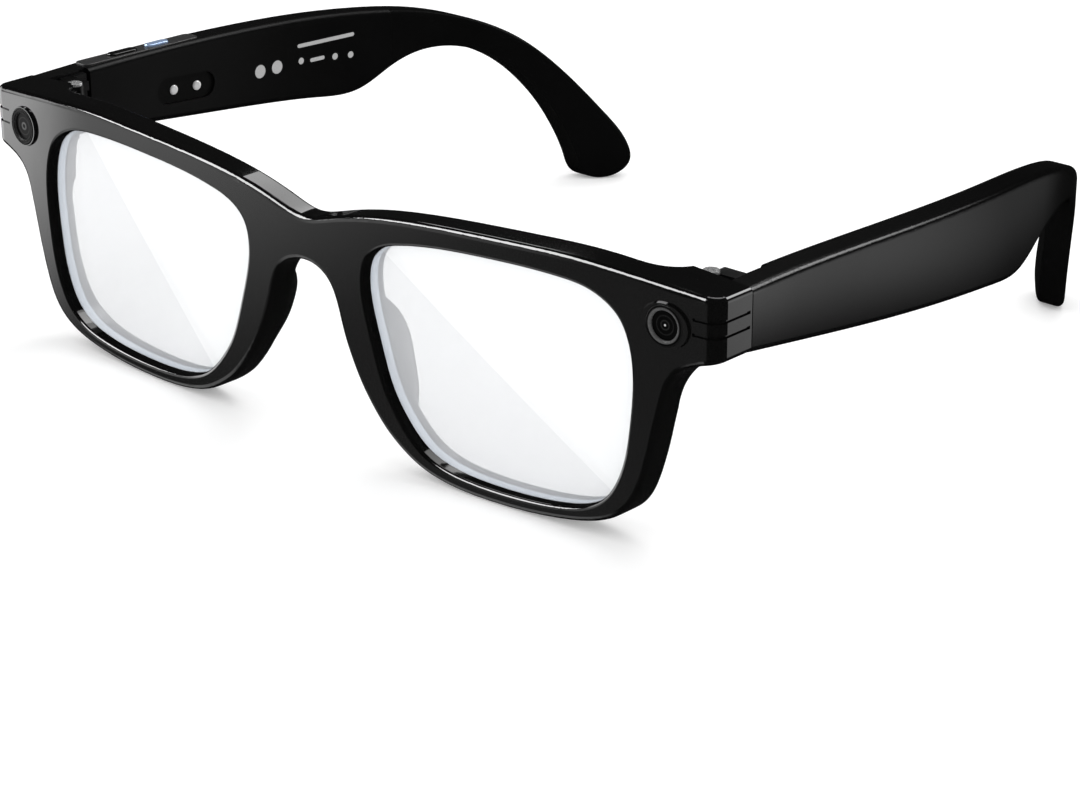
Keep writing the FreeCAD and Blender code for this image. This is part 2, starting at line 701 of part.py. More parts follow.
def button(name):
    y, length, width = BUTTONS[name]
    cap = pill(y, length, width, STRIP_TOP - STRIP_THICK - 0.1, STRIP_TOP + BUTTON_RISE)
    cap = cap.makeFillet(0.22, edges_where(cap, lambda e: e.BoundBox.ZMin > STRIP_TOP + BUTTON_RISE - 0.01))
    low = STRIP_TOP - STRIP_THICK - 0.1
    wide = 2 * BUTTON_FLANGE
    flange = pill(y, length + wide, width + wide, low - FLANGE_THICK, low)
    return tilted(fuse_all([cap, flange]))


def button_well():
    low = STRIP_TOP - STRIP_THICK
    wells = [pill(y, length + 2 * BUTTON_FLANGE + 0.4, width + 2 * BUTTON_FLANGE + 0.3, low - 2.0, low + 0.1)
             for y, length, width in BUTTONS.values()]
    return tilted(fuse_all(wells + [box(BUTTON_X - 1.3, BUTTON_X + 1.3, 26.0, 41.6, low - 2.0, low - 0.9)]))


def switch_board():
    low = STRIP_TOP - STRIP_THICK
    return tilted(box(BUTTON_X - 1.2, BUTTON_X + 1.2, 26.4, 41.2, low - 1.7, low - 1.35))


def tact_switches():
    low = STRIP_TOP - STRIP_THICK - 1.35
    return [tilted(box(BUTTON_X - 0.9, BUTTON_X + 0.9, y - 0.9, y + 0.9, low, low + 0.4))
            for y, _, _ in BUTTONS.values()]


def insert_outline(grow, x0, x1):
    length = INSERT_LENGTH + 2 * grow
    r = 0.5 * INSERT_HEIGHT + grow
    (ya, za), (yb, zb) = CONTACT_YZ
    y = 0.5 * (ya + yb)
    z = 0.5 * (za + zb)
    half = 0.5 * length - r
    body = fuse_all([Part.makeCylinder(r, x1 - x0, Vector(x0, -half, 0), Vector(1, 0, 0)),
                     Part.makeCylinder(r, x1 - x0, Vector(x0, half, 0), Vector(1, 0, 0)),
                     box(x0, x1, -half, half, -r, r)])
    body.rotate(Vector(0, 0, 0), Vector(1, 0, 0), -4.5)
    body.translate(Vector(0, y, z))
    return body


def charge_insert():
    sunk = plan_band(inner_points(COVER_THICK + 0.5), inner_points(INSERT_SINK))
    body = insert_outline(0.0, 69.0, 76.0).common(sunk)
    for y, z in CONTACT_YZ:
        body = body.cut(Part.makeCylinder(CONTACT_R, 8.0, Vector(68.0, y, z), Vector(1, 0, 0)))
    return body


def charge_contact(y, z):
    inner_x = interpolated(TEMPLE_PLAN, y) - interpolated(TEMPLE_THICK, y)
    start = inner_x + 0.1
    pin = Part.makeCylinder(CONTACT_R, COVER_THICK + 0.4, Vector(start, y, z), Vector(1, 0, 0))
    return pin.makeFillet(0.3, edges_where(pin, lambda e: e.BoundBox.XMax < start + 0.01))


def build_temple(side):
    """Shell and cover of one temple, drawn on the left and mirrored by the caller."""
    blank = temple_blank()
    core = tip_core()
    room = cavity()
    cover = blank.common(cover_region())
    shell = blank.cut([cover_region(), hinge_pocket(), room, core])
    screws = [plate_screw_temple(y, z) for y, z in TEMPLE_SCREWS]
    shell = shell.cut(screws + speaker_slots() + [microphone_port()])
    cover = cover.cut(speaker_slots())
    if side < 0:
        shell = shell.cut([tilted(strip_blank()), button_well()])
        cover = cover.cut([insert_outline(0.0, 69.0, 74.0), button_well(), tilted(strip_blank())])
        cover = cover.cut([charge_contact(y, z) for y, z in CONTACT_YZ])
    return shell, cover, core


# ---- export --------------------------------------------------------------------------
def export(name, shapes):
    if not isinstance(shapes, list):
        shapes = [shapes]
    moved = []
    for shape in shapes:
        copy = shape.copy()
        copy.translate(Vector(0, -CENTRE_Y, 0))
        moved.append(copy)
    result = moved[0] if len(moved) == 1 else Part.makeCompound(moved)
    result.exportStep("parts/" + name + ".step")
    state = "valid" if result.isValid() else "INVALID"
    print(name, state, len(result.Solids), "solids", round(result.Volume, 2), "mm3", flush=True)


def export_front():
    glass = lens()
    export("lens_left", glass)
    export("lens_right", mirrored(glass))
    for name, side, shape in (("camera_bezel", -1, module_bezel()), ("camera_window", -1, module_window()),
                              ("camera_barrel", -1, camera_barrel()), ("camera_lens", -1, camera_lens()),
                              ("camera_sensor", -1, camera_sensor()), ("camera_board", -1, module_board()),
                              ("light_bezel", 1, module_bezel()), ("light_window", 1, module_window()),
                              ("light_reflector", 1, light_reflector()), ("light_emitter", 1, light_emitter()),
                              ("light_board", 1, module_board())):
        export(name, for_side(on_front(shape), side))
    export("front_lead", front_lead())
    export("lead_cover", lead_cover())
    leaf = hinge_leaf_front()
    export("hinge_front_left", leaf)
    export("hinge_front_right", mirrored(leaf))
    export("hinge_front_screws", [for_side(plate_screw_front(x, z), side) for side in (1, -1) for x, z in PLATE_SCREWS])
    export("front_frame", build_front(glass))


def export_temple(side, name):
    shell, cover, core = build_temple(side)
    pieces = {"temple_shell": shell, "temple_cover": cover, "tip_core": core,
              "hinge_temple": hinge_leaf_temple(), "hinge_screw": hinge_screw(),
              "hinge_temple_screws": [plate_screw_temple(y, z) for y, z in TEMPLE_SCREWS],
              "speaker": speaker(), "speaker_mesh": speaker_mesh(), "microphone": microphone()}
    if side < 0:
        pieces["main_board"] = board(33.0, 21.0)
        pieces["main_chips"] = chips(33.0, [(-6.5, 4.0, 3.6), (0.0, 6.0, 4.0), (7.0, 4.0, 3.0)])
        pieces["battery"] = battery(57.5, 16.0)
        pieces["control_strip"] = control_strip()
        pieces["switch_board"] = switch_board()
        pieces["tact_switches"] = tact_switches()
        pieces["charge_insert"] = charge_insert()
        pieces["charge_contacts"] = [charge_contact(y, z) for y, z in CONTACT_YZ]
        for button_name in BUTTONS:
            pieces[button_name] = button(button_name)
    else:
        pieces["power_board"] = board(29.5, 14.0)
        pieces["power_chips"] = chips(29.5, [(-3.0, 4.0, 3.4), (3.0, 3.0, 3.0)])
        pieces["battery"] = battery(50.5, 22.0)
    for piece, shape in pieces.items():
        if not isinstance(shape, list):
            shape = [shape]
        label = piece if piece in ALONE else piece + "_" + name
        export(label, [for_side(s, side) for s in shape])


ALONE = ("main_board", "main_chips", "control_strip", "switch_board", "tact_switches", "charge_insert",
         "charge_contacts", "capture_button", "power_button", "power_board", "power_chips")


def main():
    os.makedirs("parts", exist_ok=True)
    export_temple(-1, "right")
    export_temple(1, "left")
    export_front()


if __name__ == "__main__":
    main()
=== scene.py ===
import json
import math

import bmesh
import bpy
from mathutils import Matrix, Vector
from mathutils.bvhtree import BVHTree


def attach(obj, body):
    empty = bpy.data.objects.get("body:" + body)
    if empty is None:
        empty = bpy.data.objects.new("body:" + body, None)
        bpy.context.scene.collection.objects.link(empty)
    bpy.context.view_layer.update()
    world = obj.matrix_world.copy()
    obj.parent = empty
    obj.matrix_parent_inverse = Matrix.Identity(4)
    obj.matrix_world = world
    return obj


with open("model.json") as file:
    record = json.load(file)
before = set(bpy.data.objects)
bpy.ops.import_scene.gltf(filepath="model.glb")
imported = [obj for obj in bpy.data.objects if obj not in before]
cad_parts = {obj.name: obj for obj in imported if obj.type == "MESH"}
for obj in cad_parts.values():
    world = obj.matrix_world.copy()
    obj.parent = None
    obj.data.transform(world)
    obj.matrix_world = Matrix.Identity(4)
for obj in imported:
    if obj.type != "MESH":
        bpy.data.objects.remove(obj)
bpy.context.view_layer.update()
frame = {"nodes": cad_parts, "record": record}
NODES = frame["nodes"]

# ---- camera, in the frame's metres ----------------------------------------------------
CAMERA_AZIMUTH = math.radians(41.81)
CAMERA_ELEVATION = math.radians(22.32)
CAMERA_DISTANCE = 0.4993
CAMERA_AIM = Vector((0.0184, -0.0327, 0.0018))
CAMERA_LENS = 106.85        # millimetres, on a sensor 36 mm wide


def toward(azimuth, elevation):
    """Unit vector from the object to a place at that azimuth and elevation."""
    flat = math.cos(elevation)
    return Vector((math.sin(azimuth) * flat, -math.cos(azimuth) * flat, math.sin(elevation)))


def make_camera():
    """The camera, which looks at CAMERA_AIM."""
    data = bpy.data.cameras.new("camera")
    data.lens = CAMERA_LENS
    data.sensor_width = 36.0
    data.clip_start = 0.01
    data.clip_end = 20.0
    camera = bpy.data.objects.new("camera", data)
    back = toward(CAMERA_AZIMUTH, CAMERA_ELEVATION)
    camera.location = CAMERA_AIM + back * CAMERA_DISTANCE
    camera.rotation_euler = (-back).to_track_quat("-Z", "Y").to_euler()
    bpy.context.scene.collection.objects.link(camera)
    bpy.context.scene.camera = camera


# ---- shader helpers ------------------------------------------------------------------
NOISE_MIDDLE = (0.3, 0.7)   # most of a noise texture lies between these


class Tree:
    """A node tree that is filled by short calls; a value may be a number or a socket."""

    def __init__(self, tree):
        self.tree = tree

    def add(self, kind, **settings):
        node = self.tree.nodes.new(kind)
        for key, value in settings.items():
            setattr(node, key, value)
        return node

    def put(self, socket, value):
        if isinstance(value, bpy.types.NodeSocket):
            self.tree.links.new(value, socket)
        else:
            socket.default_value = value

    def math(self, operation, first, second=0.0, third=0.0):
        node = self.add("ShaderNodeMath", operation=operation)
        for socket, value in zip(node.inputs, (first, second, third)):
            self.put(socket, value)
        return node.outputs[0]

    def vector_math(self, operation, first, second):
        node = self.add("ShaderNodeVectorMath", operation=operation)
        self.put(node.inputs[0], first)
        self.put(node.inputs[1], second)
        return node.outputs["Value"] if operation == "DOT_PRODUCT" else node.outputs[0]

    def ramp(self, value, low, high, out_low, out_high):
        node = self.add("ShaderNodeMapRange", interpolation_type="SMOOTHSTEP")
        for socket, number in zip(node.inputs, (value, low, high, out_low, out_high)):
            self.put(socket, number)
        return node.outputs[0]

    def vary(self, noise, out_low, out_high):
        """Spread the middle of a noise's range between two values."""
        return self.ramp(noise, *NOISE_MIDDLE, out_low, out_high)

    def mix_colour(self, factor, first, second):
        node = self.add("ShaderNodeMix", data_type="RGBA")
        self.put(node.inputs["Factor"], factor)
        self.put(node.inputs[6], first)
        self.put(node.inputs[7], second)
        return node.outputs[2]

    def place(self):
        return self.add("ShaderNodeTexCoord").outputs["Object"]

    def noise(self, scale, detail=3.0, roughness=0.5, stretch=None):
        node = self.add("ShaderNodeTexNoise")
        source = self.place()
        if stretch:
            mapping = self.add("ShaderNodeMapping")
            self.put(mapping.inputs["Vector"], source)
            mapping.inputs["Scale"].default_value = stretch
            source = mapping.outputs[0]
        self.put(node.inputs["Vector"], source)
        node.inputs["Scale"].default_value = scale
        node.inputs["Detail"].default_value = detail
        node.inputs["Roughness"].default_value = roughness
        return node.outputs["Fac"]

    def bump(self, height, strength, distance, after=None):
        node = self.add("ShaderNodeBump")
        node.inputs["Strength"].default_value = strength
        node.inputs["Distance"].default_value = distance
        self.put(node.inputs["Height"], height)
        if after is not None:
            self.put(node.inputs["Normal"], after)
        return node.outputs["Normal"]


def surface(name, **sockets):
    """A new material with a Principled shader; returns the material, its tree and shader."""
    material = bpy.data.materials.new(name)
    material.use_nodes = True
    tree = Tree(material.node_tree)
    shader = material.node_tree.nodes["Principled BSDF"]
    for socket, value in sockets.items():
        shader.inputs[socket.replace("_", " ")].default_value = value
    return material, tree, shader


def grey(value):
    return (value, value, value, 1.0)


# ---- materials -------------------------------------------------------------------------
REFLECTION_SLANT_LEFT = (1.60, 0.0684)  # slope and place of the slant on each lens; above it the lens is painted whiter, a painted reflection
REFLECTION_SLANT_RIGHT = (0.93, -0.0184)
REFLECTION_SLANT_BLUR = 0.0002
PAINTED_SHEEN_FADE_Y = (-0.062, 0.012)  # over this length a temple's sheen fades to its rear share, a painted shade that darkens the rear of the side
PAINTED_REAR_SHEEN = 0.02
CROWN_SLOPE = -0.066        # the middle line of a temple's side, Z against Y
CROWN_HEIGHT = 0.0322
BAND_BLUR = 0.03            # of the round piece's radius


def moulded(name, dark, light, rough, specular, coat=0.0, crown=0.0):
    """Moulded plastic: faint flow clouds and fine polish marks, on a temple also its sheen, faded towards the
    rear as a painted shade.
    """
    material, tree, shader = surface(name, Specular_IOR_Level=specular, Coat_Weight=coat)
    shader.inputs["Coat Roughness"].default_value = 0.04
    clouds = tree.noise(90.0, 4.0)
    tree.put(shader.inputs["Base Color"], tree.mix_colour(clouds, dark, light))
    polish = tree.noise(2600.0, 2.0)
    tree.put(shader.inputs["Roughness"], tree.vary(polish, rough, 1.08 * rough + 0.005))
    normal = tree.bump(tree.noise(7000.0, 2.0), 0.006, 0.00002)
    if crown:
        normal = tree.bump(side_crown(tree), 1.0, crown, normal)
        # painted shade: the gleam is faded along the temple towards its rear
        split = tree.add("ShaderNodeSeparateXYZ")
        tree.put(split.inputs[0], tree.place())
        painted_sheen_fade = tree.ramp(split.outputs["Y"], *PAINTED_SHEEN_FADE_Y, specular, PAINTED_REAR_SHEEN)
        tree.put(shader.inputs["Specular IOR Level"], painted_sheen_fade)
    tree.put(shader.inputs["Normal"], normal)
    return material


def ringed(name, node, bands, base):
    """Black material of a round piece with paler bands round its centre, painted highlights of its rings and
    edges.
    """
    material, tree, shader = surface(name, Specular_IOR_Level=0.06)
    corners = [Vector(corner) for corner in NODES[node].bound_box]
    centre = sum(corners, Vector()) / len(corners)
    radius = 0.5 * (max(corner.z for corner in corners) - min(corner.z for corner in corners))
    offset = tree.vector_math("SUBTRACT", tree.place(), centre[:])
    flat = tree.vector_math("MULTIPLY", offset, (1.0 / radius, 0.0, 1.0 / radius))
    distance = tree.math("SQRT", tree.vector_math("DOT_PRODUCT", flat, flat))
    tone = base
    for inner, outer, level in bands:
        rise = tree.ramp(distance, inner - BAND_BLUR, inner + BAND_BLUR, 0.0, level)
        fall = tree.ramp(distance, outer - BAND_BLUR, outer + BAND_BLUR, 1.0, 0.0)
        tone = tree.math("MULTIPLY_ADD", rise, fall, tone)
    grain = tree.vary(tree.noise(2600.0, 2.0), 0.85, 1.15)
    tone = tree.math("MULTIPLY", tone, grain)
    tree.put(shader.inputs["Base Color"], tree.mix_colour(tone, grey(0.0), grey(1.0)))
    tree.put(shader.inputs["Roughness"], tree.ramp(grain, 0.85, 1.15, 0.28, 0.32))
    return material


def side_crown(tree):
    """Height field of a side that swells gently between a temple's lower and upper edge."""
    split = tree.add("ShaderNodeSeparateXYZ")
    tree.put(split.inputs[0], tree.place())
    middle = tree.math("MULTIPLY_ADD", split.outputs["Y"], CROWN_SLOPE, CROWN_HEIGHT)
    off = tree.math("SUBTRACT", split.outputs["Z"], middle)
    return tree.math("MULTIPLY", tree.math("MULTIPLY", off, off), -1.0)


def metal(name, dark, light, rough, stretch):
    """Metal with fine brushed lines along one way."""
    material, tree, shader = surface(name, Metallic=1.0)
    lines = tree.noise(260.0, 5.0, 0.6, stretch)
    tree.put(shader.inputs["Base Color"], tree.mix_colour(lines, dark, light))
    tree.put(shader.inputs["Roughness"], tree.vary(lines, rough, rough + 0.14))
    tree.put(shader.inputs["Normal"], tree.bump(lines, 0.08, 0.00004))
    return material


def lens_material():
    """Clear lens under a pale veil that is a painted reflection, painted whiter still above a slant on each
    lens.
    """
    material, tree, shader = surface("lens_clear_painted_reflection", Specular_IOR_Level=0.35)
    split = tree.add("ShaderNodeSeparateXYZ")
    tree.put(split.inputs[0], tree.place())
    right = tree.math("GREATER_THAN", 0.0, split.outputs["X"])
    slope, edge = [tree.math("MULTIPLY_ADD", right, there - here, here)
                   for here, there in zip(REFLECTION_SLANT_LEFT, REFLECTION_SLANT_RIGHT)]
    slant = tree.math("MULTIPLY_ADD", split.outputs["Z"], slope, split.outputs["X"])
    painted_reflection = tree.ramp(tree.math("SUBTRACT", slant, edge), -REFLECTION_SLANT_BLUR, REFLECTION_SLANT_BLUR, 0.0, 1.0)
    haze = tree.noise(30.0, 2.0)
    shade = tree.mix_colour(haze, (0.78, 0.79, 0.81, 1), (0.82, 0.83, 0.85, 1))
    # painted reflection: a pale veil over the lens, whiter above the slant
    tree.put(shader.inputs["Base Color"], tree.mix_colour(painted_reflection, shade, (0.97, 0.985, 1.0, 1)))
    tree.put(shader.inputs["Alpha"], tree.vary(haze, 0.40, 0.44))
    wipes = tree.noise(60.0, 2.0, 0.5, (1.0, 1.0, 6.0))
    tree.put(shader.inputs["Roughness"], tree.vary(wipes, 0.02, 0.05))
    return material


def lens_edge_material():
    """Ground edge of a lens: bluish white, with the fine lines of the grinding wheel, and a faint painted
    glow.
    """
    material, tree, shader = surface("lens_edge_ground_painted_glow", Specular_IOR_Level=0.4)
    lines = tree.noise(900.0, 3.0, 0.6, (1.0, 9.0, 1.0))
    blue = (0.70, 0.80, 0.95, 1)
    white = (0.93, 0.96, 1.0, 1)
    tree.put(shader.inputs["Base Color"], tree.mix_colour(lines, blue, white))
    tree.put(shader.inputs["Alpha"], tree.vary(lines, 0.65, 0.85))
    tree.put(shader.inputs["Roughness"], tree.vary(lines, 0.25, 0.4))
    # painted light: a faint glow brightens the edge band inside the opening
    shader.inputs["Emission Color"].default_value = (0.80, 0.90, 1.0, 1)
    shader.inputs["Emission Strength"].default_value = 0.22
    return material


def ink_material():
    """Pale print with small gaps in its cover."""
    material, tree, shader = surface("ink_pale", Roughness=0.6, Specular_IOR_Level=0.2)
    cover = tree.noise(5000.0, 2.0)
    tree.put(shader.inputs["Base Color"], tree.mix_colour(cover, grey(0.30), grey(0.46)))
    return material


def tinted_glass(name, colour, alpha):
    """Dark coated glass."""
    material, tree, shader = surface(name, Specular_IOR_Level=0.55)
    haze = tree.noise(800.0, 2.0)
    deep = tuple(0.6 * part for part in colour[:3]) + (1.0,)
    tree.put(shader.inputs["Base Color"], tree.mix_colour(haze, deep, colour))
    tree.put(shader.inputs["Alpha"], tree.vary(haze, alpha, alpha + 0.06))
    tree.put(shader.inputs["Roughness"], tree.vary(haze, 0.03, 0.06))
    return material


def printed_board(name):
    """Green solder mask with the faint lines of the tracks under it."""
    material, tree, shader = surface(name, Roughness=0.35)
    tracks = tree.add("ShaderNodeTexBrick")
    tree.put(tracks.inputs["Vector"], tree.place())
    tracks.inputs["Scale"].default_value = 700.0
    tracks.inputs["Color1"].default_value = (0.01, 0.09, 0.05, 1)
    tracks.inputs["Color2"].default_value = (0.015, 0.11, 0.06, 1)
    tracks.inputs["Mortar"].default_value = (0.05, 0.22, 0.12, 1)
    tree.put(shader.inputs["Base Color"], tracks.outputs["Color"])
    tree.put(shader.inputs["Normal"], tree.bump(tracks.outputs["Fac"], 0.2, 0.00003))
    return material


def woven_mesh(name):
    """Fine cloth of metal wire."""
    material, tree, shader = surface(name, Metallic=0.8, Roughness=0.4)
    weave = tree.add("ShaderNodeTexChecker")
    tree.put(weave.inputs["Vector"], tree.place())
    weave.inputs["Scale"].default_value = 6000.0
    weave.inputs["Color1"].default_value = grey(0.02)
    weave.inputs["Color2"].default_value = grey(0.10)
    tree.put(shader.inputs["Base Color"], weave.outputs["Color"])
    tree.put(shader.inputs["Normal"], tree.bump(weave.outputs["Fac"], 0.3, 0.00005))
    return material


def plated(name, low, high, rough):
    """Bright plated metal that also scatters some of the light round it."""
    material, tree, shader = surface(name, Metallic=0.55)
    wear = tree.noise(1800.0, 4.0)
    tree.put(shader.inputs["Base Color"], tree.mix_colour(wear, low, high))
    tree.put(shader.inputs["Roughness"], tree.vary(wear, rough, rough + 0.1))
    tree.put(shader.inputs["Normal"], tree.bump(wear, 0.05, 0.00002))
    return material


MATERIALS = {
    "frame_gloss": lambda: moulded("frame_polished", grey(0.002), grey(0.0035), 0.06, 0.5, coat=0.2),
    "temple_gloss": lambda: moulded("temple_satin", grey(0.002), grey(0.0035), 0.20, 0.5, crown=10.0),
    "lens_clear": lens_material,
    "barrel_black": lambda: moulded("barrel_matte", grey(0.004), grey(0.008), 0.5, 0.4),
    "optic_glass": lambda: tinted_glass("optic_coated", (0.05, 0.07, 0.12, 1.0), 0.6),
    "sensor_silicon": lambda: moulded("sensor_looks", (0.02, 0.03, 0.05, 1), (0.05, 0.06, 0.09, 1), 0.2, 0.6),
    "reflector": lambda: metal("reflector_bright", grey(0.55), grey(0.7), 0.1, (1, 1, 1)),
    "emitter": lambda: moulded("emitter_cream", (0.7, 0.66, 0.5, 1), (0.8, 0.77, 0.62, 1), 0.3, 0.5),
    "circuit_board": lambda: printed_board("board_green"),
    "chip_package": lambda: moulded("chip_epoxy", grey(0.012), grey(0.025), 0.5, 0.4),
    "flex_film": lambda: moulded("film_amber", (0.35, 0.17, 0.03, 1), (0.45, 0.24, 0.05, 1), 0.25, 0.5),
    "cover_matte": lambda: moulded("cover_black", grey(0.003), grey(0.006), 0.35, 0.4),
    "hinge_metal": lambda: metal("hinge_blackened", grey(0.02), grey(0.05), 0.3, (1, 1, 9)),
    "screw_metal": lambda: plated("screw_steel", grey(0.38), grey(0.55), 0.22),
    "battery_foil": lambda: metal("battery_foil_looks", grey(0.5), grey(0.65), 0.3, (1, 2, 1)),
    "speaker_body": lambda: moulded("speaker_housing", grey(0.02), grey(0.035), 0.5, 0.4),
    "speaker_mesh_cloth": lambda: woven_mesh("speaker_mesh_woven"),
    "microphone_can": lambda: plated("microphone_plated", (0.5, 0.46, 0.36, 1), (0.62, 0.58, 0.48, 1), 0.25),
    "insert_black": lambda: moulded("insert_matte", grey(0.001), grey(0.002), 0.55, 0.1),
    "contact_plating": lambda: plated("contact_plated", grey(0.85), grey(0.98), 0.15),
    "strip_satin": lambda: moulded("strip_grey", grey(0.022), grey(0.032), 0.35, 0.5),
    "button_gloss": lambda: moulded("button_black", grey(0.003), grey(0.006), 0.08, 0.6),
    "button_metal": lambda: plated("button_polished", (0.25, 0.42, 0.75, 1), (0.62, 0.72, 0.9, 1), 0.15),
    "switch_metal": lambda: plated("switch_plated", grey(0.5), grey(0.65), 0.25),
    "tip_core_steel": lambda: metal("core_steel", grey(0.45), grey(0.6), 0.3, (1, 8, 1)),
}
# painted shade: the temples' inner covers get a darker, barely glossy copy of the plastic
INNER_COVERS = ("temple_cover_left", "temple_cover_right")
# for each round piece: inner and outer radius and tone of its paler bands, which are painted highlights, then
# the tone between
ROUND_PIECES = {
    "light_bezel": (((0.68, 0.86, 0.075), (0.97, 1.10, 0.008)), 0.0012),
    "camera_bezel": (((0.70, 0.76, 0.025), (0.86, 0.91, 0.035)), 0.0015),
    # the light window's first band is a painted gleam at its centre
    "light_window": (((-0.10, 0.07, 0.55), (0.26, 0.34, 0.014), (0.60, 0.66, 0.010)), 0.0012),
    "camera_window": (((0.16, 0.30, 0.10), (0.62, 0.68, 0.030)), 0.0015),
}


def inner_cover_material():
    # painted shade: low gleam and darker base keep the inner faces black
    return moulded("cover_satin_painted_shade", grey(0.0015), grey(0.003), 0.30, 0.10)


def paint_nodes():
    """Give every CAD node its slot's material, by the record's list of slots."""
    slots = {part["node"]: part["material_slot"] for part in frame["record"]["subparts"]}
    made = {}
    for node, thing in NODES.items():
        key = "inner_cover" if node in INNER_COVERS else slots[node]
        if node in ROUND_PIECES:
            key = node
            made[key] = ringed(node + "_painted_highlight_rings", node, *ROUND_PIECES[node])
        elif key not in made:
            made[key] = inner_cover_material() if key == "inner_cover" else MATERIALS[key]()
        for material_slot in thing.material_slots:
            material_slot.link = "OBJECT"
            material_slot.material = made[key]


# ---- stage -------------------------------------------------------------------------------
FLOOR_HALF = 4.0
# azimuth, elevation, half width and its softness, half height and its softness, radiance
FRONT_BOXES = (
    (-62.0, 0.0, 0.50, 0.32, 0.35, 0.0635, 1.10),
    (-80.0, 0.0, 0.36, 0.04, 0.37, 0.067, 2.0),
    (-30.0, -20.0, 0.40, 0.10, 0.30, 0.10, 0.14),
    (-48.0, 42.0, 0.34, 0.04, 0.24, 0.03, 14.0),
    (-55.0, -45.0, 0.35, 0.15, 0.25, 0.15, 0.9),
)
REAR_BOXES = (
    (150.0, 40.0, 0.40, 0.06, 0.16, 0.03, 7.0),
    (150.0, -8.0, 0.34, 0.12, 0.26, 0.17, 1.5),
)
REAR_GATE = (0.68, 0.74)    # how far a gleam must point to the rear to show the rear boxes
LEAST_DEPTH = 0.05          # a box is drawn only this far in front of the object's own plane
AMBIENT_IN_GLOSS = 0.012
AMBIENT = 1.0


def softbox(tree, direction, box):
    """A soft-edged bright rectangle in the surroundings, seen only in glossy surfaces."""
    azimuth, elevation, half_width, soft_width, half_height, soft_height, radiance = box
    centre = toward(math.radians(azimuth), math.radians(elevation))
    right = Vector((math.cos(math.radians(azimuth)), math.sin(math.radians(azimuth)), 0.0))
    up = right.cross(-centre)
    depth = tree.vector_math("DOT_PRODUCT", direction, centre[:])
    safe = tree.math("MAXIMUM", depth, LEAST_DEPTH)
    level = tree.math("GREATER_THAN", depth, LEAST_DEPTH)
    for axis, half, soft in ((right, half_width, soft_width), (up, half_height, soft_height)):
        along = tree.vector_math("DOT_PRODUCT", direction, axis[:])
        offset = tree.math("ABSOLUTE", tree.math("DIVIDE", along, safe))
        level = tree.math("MULTIPLY", level, tree.ramp(offset, half - soft, half + soft, 1.0, 0.0))
    return tree.math("MULTIPLY", level, radiance)


def make_world():
    """Even white light all round; glossy surfaces see dark surroundings with soft boxes."""
    world = bpy.data.worlds.new("studio")
    world.use_nodes = True
    tree = Tree(world.node_tree)
    background = world.node_tree.nodes["Background"]
    direction = tree.add("ShaderNodeTexCoord").outputs["Generated"]
    total = AMBIENT_IN_GLOSS
    for box in FRONT_BOXES:
        total = tree.math("ADD", softbox(tree, direction, box), total)
    backward = tree.vector_math("DOT_PRODUCT", direction, (0.0, 1.0, 0.0))
    behind = tree.ramp(backward, *REAR_GATE, 0.0, 1.0)
    for box in REAR_BOXES:
        total = tree.math("MULTIPLY_ADD", softbox(tree, direction, box), behind, total)
    glossy = tree.add("ShaderNodeLightPath").outputs["Is Glossy Ray"]
    seen = tree.math("SUBTRACT", total, AMBIENT)
    tree.put(background.inputs["Strength"], tree.math("MULTIPLY_ADD", seen, glossy, AMBIENT))
    background.inputs["Color"].default_value = grey(1.0)
    bpy.context.scene.world = world


def make_floor():
    """A plain white sheet under the object."""
    mesh = bpy.data.meshes.new("floor")
    build = bmesh.new()
    corners = ((-1, -1), (1, -1), (1, 1), (-1, 1))
    build.faces.new([build.verts.new((x * FLOOR_HALF, y * FLOOR_HALF, 0.0)) for x, y in corners])
    build.to_mesh(mesh)
    build.free()
    floor = bpy.data.objects.new("floor", mesh)
    bpy.context.scene.collection.objects.link(floor)
    material, tree, shader = surface("floor_paper", Roughness=0.9, Specular_IOR_Level=0.0)
    fibres = tree.noise(300.0, 2.0)
    tree.put(shader.inputs["Base Color"], tree.mix_colour(fibres, grey(0.86), grey(0.88)))
    shader.inputs["Emission Color"].default_value = grey(1.0)
    shader.inputs["Emission Strength"].default_value = 0.25
    mesh.materials.append(material)
    floor.visible_glossy = False


KEY_LIGHT = {"size": 0.9, "energy": 4.0, "azimuth": 200.0, "elevation": 60.0, "distance": 1.5}
BROW_LIGHT = {"size": 0.060, "energy": 0.022, "azimuth": 205.0, "elevation": 40.0, "distance": 0.12}
BROW_SPOT = Vector((-0.016, -0.061, 0.0355))  # the right rim's slope beside the bridge


def disk_light(name, aim, size, energy, azimuth, elevation, distance):
    """A round soft light that looks at a point from that way and distance."""
    data = bpy.data.lights.new(name, "AREA")
    data.shape = "DISK"
    data.size = size
    data.energy = energy
    light = bpy.data.objects.new(name, data)
    back = toward(math.radians(azimuth), math.radians(elevation))
    light.location = aim + back * distance
    light.rotation_euler = (-back).to_track_quat("-Z", "Y").to_euler()
    bpy.context.scene.collection.objects.link(light)
    return light


def make_key_light():
    """The light that casts the shadows under the rims; it gives no gleam."""
    light = disk_light("key", Vector(), **KEY_LIGHT)
    light.data.specular_factor = 0.0


def make_brow_light():
    """A small light close above, seen only as a gleam on the right rim's slope."""
    light = disk_light("brow", BROW_SPOT, **BROW_LIGHT)
    light.data.diffuse_factor = 0.0
    light.visible_camera = False


# ---- pieces that only the looks need -----------------------------------------------------
def new_piece(name, mesh, material, body):
    """Put a mesh in the scene, on a body of the frame."""
    piece = bpy.data.objects.new(name, mesh)
    bpy.context.scene.collection.objects.link(piece)
    mesh.materials.append(material)
    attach(piece, body)
    return piece


EDGE_SINK = 0.00068         # from a lens's rim to just inside the wall of its opening
WELD = 1e-6
FLAT_FACE = 0.5             # a lens face that looks further forward or back than this is flat


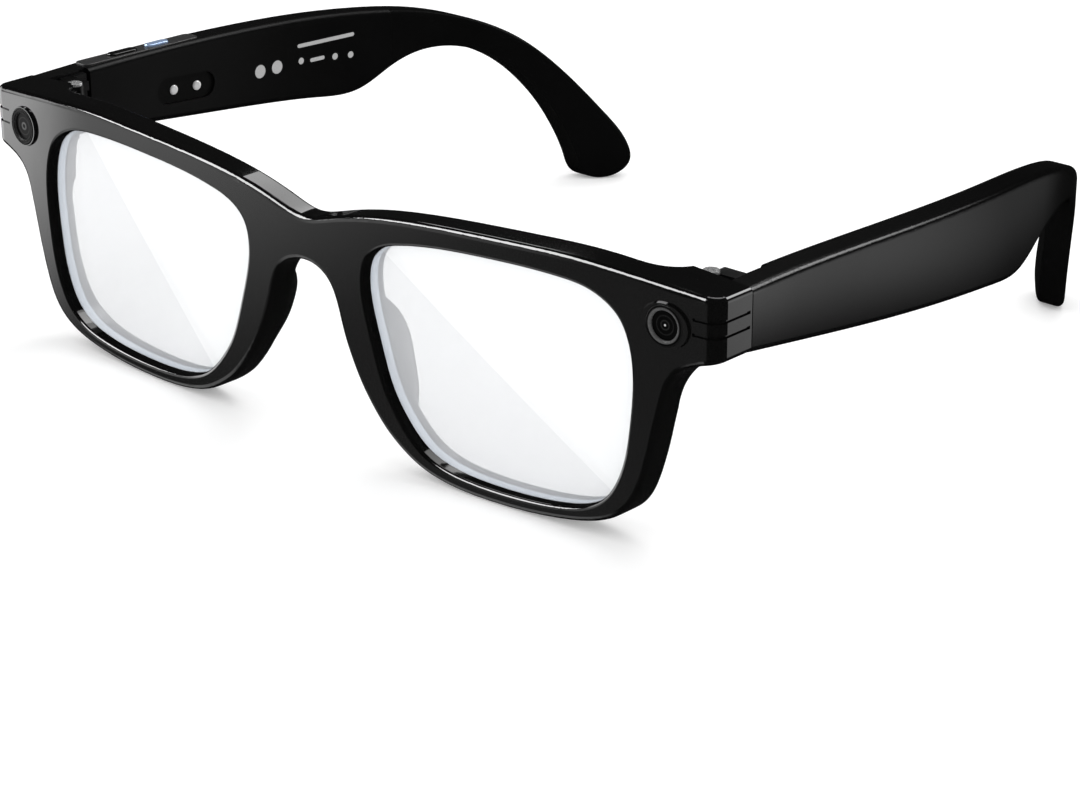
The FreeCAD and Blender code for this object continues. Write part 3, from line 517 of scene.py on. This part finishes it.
def lens_edge(side, material):
    """The lens's ground edge as light shows it: a thin translucent band inside the opening."""
    source = NODES["lens_" + side]
    build = bmesh.new()
    build.from_mesh(source.data)
    bmesh.ops.transform(build, matrix=source.matrix_world, verts=build.verts)
    bmesh.ops.remove_doubles(build, verts=build.verts, dist=WELD)
    flat = [face for face in build.faces if abs(face.normal.y) > FLAT_FACE]
    bmesh.ops.delete(build, geom=flat, context="FACES")
    build.normal_update()
    moves = {vert: vert.normal.copy() for vert in build.verts}
    for vert, normal in moves.items():
        inward = Vector((normal.x, 0.0, normal.z)).normalized()
        vert.co -= inward * EDGE_SINK
    mesh = bpy.data.meshes.new("lens_edge_" + side)
    build.to_mesh(mesh)
    build.free()
    mesh.shade_smooth()
    piece = new_piece("lens_edge_" + side, mesh, material, "front")
    for clear in (source, piece):
        clear.visible_glossy = False


MARK_LIFT = 0.00003
MARK_STEPS = 10             # in each of a mark's two round ends
# middle Y and Z, length, height: plain bars and dots, in metres
MARKS = (
    (-0.0064, 0.0312, 0.0024, 0.0024),
    (-0.0025, 0.0312, 0.0024, 0.0024),
    (0.0085, 0.0340, 0.0125, 0.0007),
    (0.0030, 0.0312, 0.0012, 0.0012),
    (0.0066, 0.0309, 0.0032, 0.0007),
    (0.0105, 0.0306, 0.0012, 0.0012),
    (0.0139, 0.0303, 0.0012, 0.0012),
)


def mark_outline(length, height):
    """Points round a bar with round ends; a dot when it is as long as it is high."""
    radius = 0.5 * height
    half = 0.5 * length - radius
    points = []
    for centre, start in ((half, -0.5 * math.pi), (-half, 0.5 * math.pi)):
        for step in range(MARK_STEPS + 1):
            angle = start + math.pi * step / MARK_STEPS
            points.append((centre + radius * math.cos(angle), radius * math.sin(angle)))
    return points


def printed_marks():
    """Pale bars and dots printed on the right temple's inner face."""
    cover = NODES["temple_cover_right"]
    build = bmesh.new()
    build.from_mesh(cover.data)
    bmesh.ops.transform(build, matrix=cover.matrix_world, verts=build.verts)
    tree = BVHTree.FromBMesh(build)
    build.free()
    build = bmesh.new()
    for y, z, length, height in MARKS:
        corners = []
        for along, up in mark_outline(length, height):
            start = Vector((0.0, y + along, z + up))
            hit = tree.ray_cast(start, Vector((-1.0, 0.0, 0.0)))[0]
            corners.append(build.verts.new(hit + Vector((MARK_LIFT, 0.0, 0.0))))
        build.faces.new(corners)
    mesh = bpy.data.meshes.new("printed_marks")
    build.to_mesh(mesh)
    build.free()
    new_piece("printed_marks", mesh, ink_material(), "temple_right")


make_camera()
paint_nodes()
ground = lens_edge_material()
for lens_side in ("left", "right"):
    lens_edge(lens_side, ground)
printed_marks()
make_world()
make_floor()
make_key_light()
make_brow_light()
bpy.context.scene.view_settings.view_transform = "Standard"
